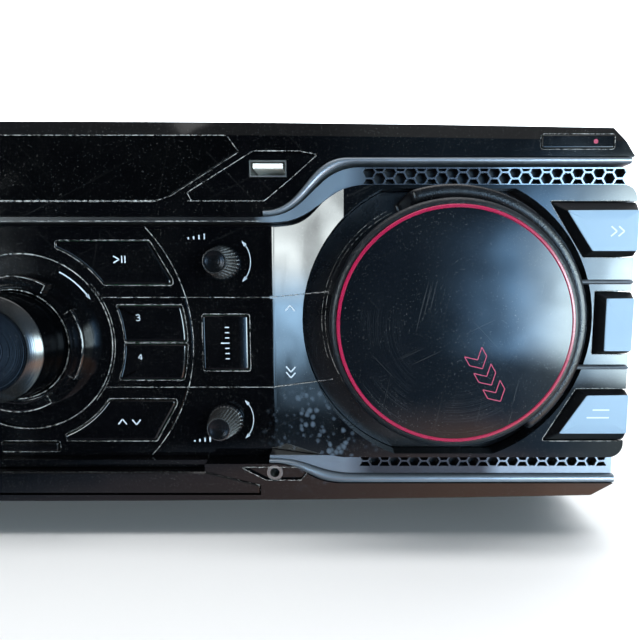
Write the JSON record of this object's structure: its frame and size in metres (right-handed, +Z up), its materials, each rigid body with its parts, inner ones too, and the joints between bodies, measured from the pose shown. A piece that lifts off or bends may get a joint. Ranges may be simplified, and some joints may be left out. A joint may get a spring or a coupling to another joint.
{
  "type": "compact stereo system",
  "caption": "Low glossy compact stereo main unit with a front disc tray, two large turning wheels, a volume knob, hex-pocket grilles and satin silver trim",
  "frame": {"origin": "middle of the footprint, on the surface the feet stand on", "axes": "+X to the right seen from the front, -Y out of the front, +Z up"},
  "size_m": [0.45, 0.352, 0.1526],
  "materials": {
    "gloss_black": "piano gloss",
    "display": "clear gloss over black",
    "silver_blue": "satin silver paint",
    "grille": "glossy dark pockets",
    "dark_texture": "fine grain",
    "red_ring": "gloss",
    "brushed_knob": "turned face",
    "dark_knob": "satin",
    "side_key": "gloss",
    "moulding": "moulded",
    "board": "circuit board",
    "socket_metal": "nickel",
    "case_steel": "satin black paint",
    "plain_steel": "black zinc",
    "aluminium": "extruded",
    "socket_plastic": "moulded",
    "rubber": "matt"
  },
  "bodies": {
    "case": {"upper_fascia": "gloss_black", "display_window": "display", "silver_trim_strips": "silver_blue", "hex_grilles": "grille", "deck_panel": "gloss_black", "wheel_bezels": "gloss_black", "wheel_surrounds": "dark_texture", "volume_ring": "gloss_black", "lower_fascia": "gloss_black", "front_sockets": "socket_metal", "front_frame": "moulding", "control_board": "board", "chassis_base": "plain_steel", "top_cover": "case_steel", "rear_panel": "plain_steel", "rubber_feet": "rubber", "case_screws": "plain_steel", "rear_sockets": "socket_plastic", "mains_inlet": "socket_plastic", "fan_frame": "moulding", "power_supply": "board", "main_board": "board", "heat_sink": "aluminium", "loader_frame": "moulding"},
    "tray": {"tray_front": "gloss_black", "disc_tray": "moulding"},
    "gear": {"tray_gear": "moulding"},
    "traverse": {"traverse_frame": "plain_steel"},
    "sled": {"pickup_sled": "moulding"},
    "spindle": {"turntable": "moulding"},
    "clamp": {"clamp_disc": "moulding"},
    "fan": {"fan_rotor": "moulding"},
    "volume": {"volume_knob": "brushed_knob"},
    "right_dj_wheel": {"right_wheel": "gloss_black", "right_wheel_ring": "red_ring"},
    "left_dj_wheel": {"left_wheel": "gloss_black", "left_wheel_ring": "red_ring"},
    "treble": {"treble_knob": "dark_knob"},
    "bass": {"bass_knob": "dark_knob"},
    "microphone": {"microphone_knob": "dark_knob"},
    "balance": {"balance_knob": "dark_knob"},
    "play_key_body": {"play_key": "gloss_black"},
    "key_change_key_body": {"key_change_key": "gloss_black"},
    "number_3_key_body": {"number_3_key": "gloss_black"},
    "number_4_key_body": {"number_4_key": "gloss_black"},
    "right_function_key_body": {"right_function_key": "gloss_black"},
    "record_key_body": {"record_key": "gloss_black"},
    "stop_key_body": {"stop_key": "gloss_black"},
    "echo_key_body": {"echo_key": "gloss_black"},
    "number_1_key_body": {"number_1_key": "gloss_black"},
    "number_2_key_body": {"number_2_key": "gloss_black"},
    "left_function_key_body": {"left_function_key": "gloss_black"},
    "power_key_body": {"power_key": "gloss_black"},
    "open_key_body": {"open_key": "gloss_black"},
    "right_upper_side_key_body": {"right_upper_side_key": "side_key"},
    "right_middle_side_key_body": {"right_middle_side_key": "side_key"},
    "right_lower_side_key_body": {"right_lower_side_key": "side_key"},
    "left_upper_side_key_body": {"left_upper_side_key": "side_key"},
    "left_middle_side_key_body": {"left_middle_side_key": "side_key"},
    "left_lower_side_key_body": {"left_lower_side_key": "side_key"}
  },
  "joints": [
    {"name": "tray_slide", "type": "slide", "parent": "case", "child": "tray", "axis": [0, -1, 0], "range_m": [0, 0.138]},
    {"name": "tray_gear_spin", "type": "hinge", "parent": "case", "child": "gear", "pos_m": [-0.0772, -0.118, 0.0199], "axis": [0, 0, 1], "range_deg": [-800, 0]},
    {"name": "traverse_tilt", "type": "hinge", "parent": "case", "child": "traverse", "pos_m": [0, 0.012, 0.0156], "axis": [1, 0, 0], "range_deg": [0, 1.6]},
    {"name": "sled_slide", "type": "slide", "parent": "traverse", "child": "sled", "axis": [0, 1, 0], "range_m": [0, 0.03]},
    {"name": "turntable_spin", "type": "hinge", "parent": "traverse", "child": "spindle", "pos_m": [0, -0.066, 0.0214], "axis": [0, 0, 1], "continuous": true},
    {"name": "clamp_spin", "type": "hinge", "parent": "case", "child": "clamp", "pos_m": [0, -0.066, 0.029], "axis": [0, 0, 1], "continuous": true},
    {"name": "fan_spin", "type": "hinge", "parent": "case", "child": "fan", "pos_m": [0.15, 0.154, 0.095], "axis": [0, 1, 0], "continuous": true},
    {"name": "volume_turn", "type": "hinge", "parent": "case", "child": "volume", "pos_m": [0, -0.16, 0.073], "axis": [0, -1, 0], "continuous": true},
    {"name": "right_wheel_turn", "type": "hinge", "parent": "case", "child": "right_dj_wheel", "pos_m": [0.159, -0.165, 0.082], "axis": [0, -1, 0], "continuous": true},
    {"name": "left_wheel_turn", "type": "hinge", "parent": "case", "child": "left_dj_wheel", "pos_m": [-0.159, -0.165, 0.082], "axis": [0, -1, 0], "continuous": true},
    {"name": "treble_turn", "type": "hinge", "parent": "case", "child": "treble", "pos_m": [0.0764, -0.156, 0.1034], "axis": [0, -1, 0], "continuous": true},
    {"name": "bass_turn", "type": "hinge", "parent": "case", "child": "bass", "pos_m": [-0.0764, -0.156, 0.1034], "axis": [0, -1, 0], "continuous": true},
    {"name": "microphone_turn", "type": "hinge", "parent": "case", "child": "microphone", "pos_m": [0.0764, -0.156, 0.0426], "axis": [0, -1, 0], "continuous": true},
    {"name": "balance_turn", "type": "hinge", "parent": "case", "child": "balance", "pos_m": [-0.0764, -0.156, 0.0426], "axis": [0, -1, 0], "continuous": true},
    {"name": "play_press", "type": "slide", "parent": "case", "child": "play_key_body", "axis": [0, 1, 0], "range_m": [0, 0.001], "stiffness_N_per_m": 400},
    {"name": "key_change_press", "type": "slide", "parent": "case", "child": "key_change_key_body", "axis": [0, 1, 0], "range_m": [0, 0.001], "stiffness_N_per_m": 400},
    {"name": "number_3_press", "type": "slide", "parent": "case", "child": "number_3_key_body", "axis": [0, 1, 0], "range_m": [0, 0.001], "stiffness_N_per_m": 400},
    {"name": "number_4_press", "type": "slide", "parent": "case", "child": "number_4_key_body", "axis": [0, 1, 0], "range_m": [0, 0.001], "stiffness_N_per_m": 400},
    {"name": "right_function_press", "type": "slide", "parent": "case", "child": "right_function_key_body", "axis": [0, 1, 0], "range_m": [0, 0.001], "stiffness_N_per_m": 400},
    {"name": "record_press", "type": "slide", "parent": "case", "child": "record_key_body", "axis": [0, 1, 0], "range_m": [0, 0.001], "stiffness_N_per_m": 400},
    {"name": "stop_press", "type": "slide", "parent": "case", "child": "stop_key_body", "axis": [0, 1, 0], "range_m": [0, 0.001], "stiffness_N_per_m": 400},
    {"name": "echo_press", "type": "slide", "parent": "case", "child": "echo_key_body", "axis": [0, 1, 0], "range_m": [0, 0.001], "stiffness_N_per_m": 400},
    {"name": "number_1_press", "type": "slide", "parent": "case", "child": "number_1_key_body", "axis": [0, 1, 0], "range_m": [0, 0.001], "stiffness_N_per_m": 400},
    {"name": "number_2_press", "type": "slide", "parent": "case", "child": "number_2_key_body", "axis": [0, 1, 0], "range_m": [0, 0.001], "stiffness_N_per_m": 400},
    {"name": "left_function_press", "type": "slide", "parent": "case", "child": "left_function_key_body", "axis": [0, 1, 0], "range_m": [0, 0.001], "stiffness_N_per_m": 400},
    {"name": "power_press", "type": "slide", "parent": "case", "child": "power_key_body", "axis": [0, 1, 0], "range_m": [0, 0.001], "stiffness_N_per_m": 400},
    {"name": "open_press", "type": "slide", "parent": "case", "child": "open_key_body", "axis": [0, 1, 0], "range_m": [0, 0.001], "stiffness_N_per_m": 400},
    {"name": "right_upper_side_press", "type": "slide", "parent": "case", "child": "right_upper_side_key_body", "axis": [0, 1, 0], "range_m": [0, 0.0012], "stiffness_N_per_m": 400},
    {"name": "right_middle_side_press", "type": "slide", "parent": "case", "child": "right_middle_side_key_body", "axis": [0, 1, 0], "range_m": [0, 0.0012], "stiffness_N_per_m": 400},
    {"name": "right_lower_side_press", "type": "slide", "parent": "case", "child": "right_lower_side_key_body", "axis": [0, 1, 0], "range_m": [0, 0.0012], "stiffness_N_per_m": 400},
    {"name": "left_upper_side_press", "type": "slide", "parent": "case", "child": "left_upper_side_key_body", "axis": [0, 1, 0], "range_m": [0, 0.0012], "stiffness_N_per_m": 400},
    {"name": "left_middle_side_press", "type": "slide", "parent": "case", "child": "left_middle_side_key_body", "axis": [0, 1, 0], "range_m": [0, 0.0012], "stiffness_N_per_m": 400},
    {"name": "left_lower_side_press", "type": "slide", "parent": "case", "child": "left_lower_side_key_body", "axis": [0, 1, 0], "range_m": [0, 0.0012], "stiffness_N_per_m": 400}
  ],
  "couplings": [
    {"joint": "tray_gear_spin", "follows": "tray_slide", "rad_per_m": -100}
  ]
}
